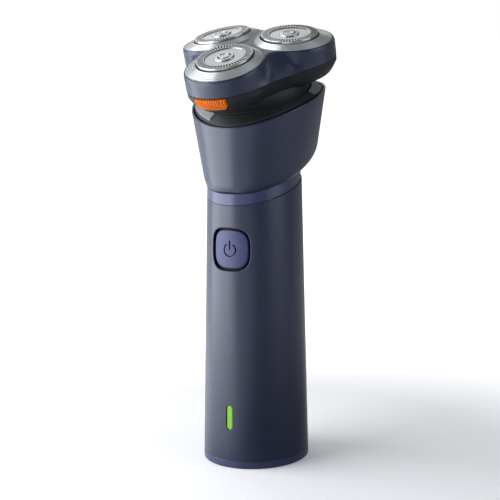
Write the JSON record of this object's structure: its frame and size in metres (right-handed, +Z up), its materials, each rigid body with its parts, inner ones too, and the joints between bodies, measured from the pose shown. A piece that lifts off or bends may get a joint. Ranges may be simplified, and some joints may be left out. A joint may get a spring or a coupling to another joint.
{
  "type": "electric shaver",
  "caption": "Cordless rotary shaver: oval tapering handle with power button, flared collar, and a tilted three-lobed head with slotted round guards that flips open on a rear hinge.",
  "frame": {"origin": "middle of the flat base, on the surface the shaver stands on", "axes": "+Z up along the handle, -Y towards the front with the power button, +X to the right hand side seen from the back, so the row is right-handed"},
  "size_m": [0.0608, 0.0682, 0.1653],
  "materials": {
    "navy_plastic": "semi-gloss moulded navy ABS",
    "violet_plastic": "translucent blue-violet polycarbonate over dark",
    "violet_window": "translucent blue-violet polycarbonate, lighter window",
    "dark_grey_plastic": "satin dark grey ABS",
    "light_grey_pad": "fine sandblast texture, mid grey",
    "green_lens": "clear green light pipe",
    "orange_plastic": "satin orange ABS",
    "black_rubber": "soft matte elastomer",
    "black_plastic": "matte black glass-filled nylon",
    "board_green": "green solder mask on laminate",
    "lamp_white": "clear LED package",
    "zinc_steel": "bright zinc plate",
    "cell_wrap": "heat-shrink wrap round a rechargeable cell",
    "nickel_contact": "nickel plated spring brass",
    "magnet_grey": "sintered ferrite",
    "rotor_steel": "laminated steel on a ground shaft",
    "brass_pinion": "machined brass",
    "spring_steel": "bright spring wire",
    "gear_plastic": "natural acetal",
    "spindle_plastic": "dark acetal",
    "lock_plastic": "grey acetal",
    "silver_ring": "satin silver with fine turned lines",
    "guard_steel": "polished stainless steel, slotted",
    "cap_steel": "satin stainless steel",
    "cutter_steel": "ground stainless steel"
  },
  "bodies": {
    "handle": {"handle_shell": "navy_plastic", "base_cap": "violet_plastic", "neck_ring": "violet_plastic", "neck_window": "violet_window", "collar": "navy_plastic", "deck": "dark_grey_plastic", "deck_pads": "light_grey_pad", "button_gasket": "black_rubber", "indicator_lens": "green_lens", "chassis": "black_plastic", "circuit_board": "board_green", "push_switch": "black_plastic", "indicator_lamp": "lamp_white", "board_screws": "zinc_steel", "base_screws": "zinc_steel", "battery_cell": "cell_wrap", "battery_contacts": "nickel_contact", "charging_inlet": "black_plastic", "inlet_pins": "nickel_contact", "motor_can": "zinc_steel", "motor_end_cap": "black_plastic", "motor_magnets": "magnet_grey", "motor_plate": "zinc_steel", "motor_screws": "zinc_steel", "neck_screws": "zinc_steel", "neck_skirt": "dark_grey_plastic", "head_tray": "dark_grey_plastic", "shaft_seal": "black_rubber", "hinge_pin": "zinc_steel", "gear_cover": "black_plastic", "cover_screws": "zinc_steel", "release_spring": "spring_steel"},
    "power_button": {"power_button": "violet_plastic"},
    "release_button": {"release_button": "orange_plastic"},
    "motor_rotor": {"motor_rotor": "rotor_steel", "drive_pinion": "brass_pinion"},
    "drive_gear_1": {"drive_gear_1": "gear_plastic", "spindle_spring_1": "spring_steel"},
    "drive_gear_2": {"drive_gear_2": "gear_plastic", "spindle_spring_2": "spring_steel"},
    "drive_gear_3": {"drive_gear_3": "gear_plastic", "spindle_spring_3": "spring_steel"},
    "drive_spindle_1": {"drive_spindle_1": "spindle_plastic"},
    "drive_spindle_2": {"drive_spindle_2": "spindle_plastic"},
    "drive_spindle_3": {"drive_spindle_3": "spindle_plastic"},
    "shaving_unit": {"head_frame": "navy_plastic", "retaining_frame": "black_plastic", "lobe_ring_1": "silver_ring", "lobe_ring_2": "silver_ring", "lobe_ring_3": "silver_ring"},
    "retaining_lock": {"retaining_lock": "lock_plastic"},
    "guard_1": {"guard_1": "guard_steel", "guard_cap_1": "cap_steel"},
    "guard_2": {"guard_2": "guard_steel", "guard_cap_2": "cap_steel"},
    "guard_3": {"guard_3": "guard_steel", "guard_cap_3": "cap_steel"},
    "cutter_1": {"cutter_1": "cutter_steel"},
    "cutter_2": {"cutter_2": "cutter_steel"},
    "cutter_3": {"cutter_3": "cutter_steel"}
  },
  "joints": [
    {"name": "power_button_press", "type": "slide", "parent": "handle", "child": "power_button", "axis": [0, 1, 0], "range_m": [0, 0.0006], "stiffness_N_per_m": 2500, "springref_m": -0.0006},
    {"name": "release_button_press", "type": "slide", "parent": "handle", "child": "release_button", "axis": [0, 0.9449, 0.3272], "range_m": [0, 0.0009], "stiffness_N_per_m": 3000, "springref_m": -0.0006, "deforming": ["release_spring"]},
    {"name": "motor_spin", "type": "hinge", "parent": "handle", "child": "motor_rotor", "pos_m": [0, 0.00286, 0.1312], "axis": [0, -0.3272, 0.9449], "continuous": true},
    {"name": "drive_gear_1_spin", "type": "hinge", "parent": "handle", "child": "drive_gear_1", "pos_m": [0, -0.01789, 0.14222], "axis": [0, -0.3272, 0.9449], "continuous": true},
    {"name": "drive_gear_2_spin", "type": "hinge", "parent": "handle", "child": "drive_gear_2", "pos_m": [0.01386, 0.00479, 0.15007], "axis": [0, -0.3272, 0.9449], "continuous": true},
    {"name": "drive_gear_3_spin", "type": "hinge", "parent": "handle", "child": "drive_gear_3", "pos_m": [-0.01386, 0.00479, 0.15007], "axis": [0, -0.3272, 0.9449], "continuous": true},
    {"name": "drive_spindle_1_slide", "type": "slide", "parent": "drive_gear_1", "child": "drive_spindle_1", "axis": [0, -0.3272, 0.9449], "range_m": [-0.001, 0], "deforming": ["spindle_spring_1"]},
    {"name": "drive_spindle_2_slide", "type": "slide", "parent": "drive_gear_2", "child": "drive_spindle_2", "axis": [0, -0.3272, 0.9449], "range_m": [-0.001, 0], "deforming": ["spindle_spring_2"]},
    {"name": "drive_spindle_3_slide", "type": "slide", "parent": "drive_gear_3", "child": "drive_spindle_3", "axis": [0, -0.3272, 0.9449], "range_m": [-0.001, 0], "deforming": ["spindle_spring_3"]},
    {"name": "shaving_unit_flip", "type": "hinge", "parent": "handle", "child": "shaving_unit", "pos_m": [0, 0.02024, 0.15803], "axis": [-1, 0, 0], "range_deg": [0, 100]},
    {"name": "retaining_lock_turn", "type": "hinge", "parent": "shaving_unit", "child": "retaining_lock", "pos_m": [0, -0.00411, 0.15133], "axis": [0, -0.3272, 0.9449], "range_deg": [0, 90]},
    {"name": "guard_1_float", "type": "slide", "parent": "shaving_unit", "child": "guard_1", "axis": [0, -0.4163, 0.9092], "range_m": [-0.001, 0], "stiffness_N_per_m": 600, "springref_m": 0.0008},
    {"name": "guard_2_float", "type": "slide", "parent": "shaving_unit", "child": "guard_2", "axis": [0.083, -0.2804, 0.9563], "range_m": [-0.001, 0], "stiffness_N_per_m": 600, "springref_m": 0.0008},
    {"name": "guard_3_float", "type": "slide", "parent": "shaving_unit", "child": "guard_3", "axis": [-0.083, -0.2804, 0.9563], "range_m": [-0.001, 0], "stiffness_N_per_m": 600, "springref_m": 0.0008},
    {"name": "cutter_1_spin", "type": "hinge", "parent": "guard_1", "child": "cutter_1", "pos_m": [0, -0.02263, 0.15412], "axis": [0, -0.4163, 0.9092], "continuous": true},
    {"name": "cutter_2_spin", "type": "hinge", "parent": "guard_2", "child": "cutter_2", "pos_m": [0.01436, 0.00087, 0.16226], "axis": [0.083, -0.2804, 0.9563], "continuous": true},
    {"name": "cutter_3_spin", "type": "hinge", "parent": "guard_3", "child": "cutter_3", "pos_m": [-0.01436, 0.00087, 0.16226], "axis": [-0.083, -0.2804, 0.9563], "continuous": true}
  ],
  "couplings": [
    {"joint": "drive_gear_1_spin", "follows": "motor_spin", "ratio": -0.52381},
    {"joint": "drive_gear_2_spin", "follows": "motor_spin", "ratio": -0.52381},
    {"joint": "drive_gear_3_spin", "follows": "motor_spin", "ratio": -0.52381},
    {"joint": "drive_spindle_1_slide", "follows": "guard_1_float", "ratio": 1},
    {"joint": "drive_spindle_2_slide", "follows": "guard_2_float", "ratio": 1},
    {"joint": "drive_spindle_3_slide", "follows": "guard_3_float", "ratio": 1},
    {"joint": "cutter_1_spin", "follows": "motor_spin", "ratio": -0.52381},
    {"joint": "cutter_2_spin", "follows": "motor_spin", "ratio": -0.52381},
    {"joint": "cutter_3_spin", "follows": "motor_spin", "ratio": -0.52381}
  ]
}
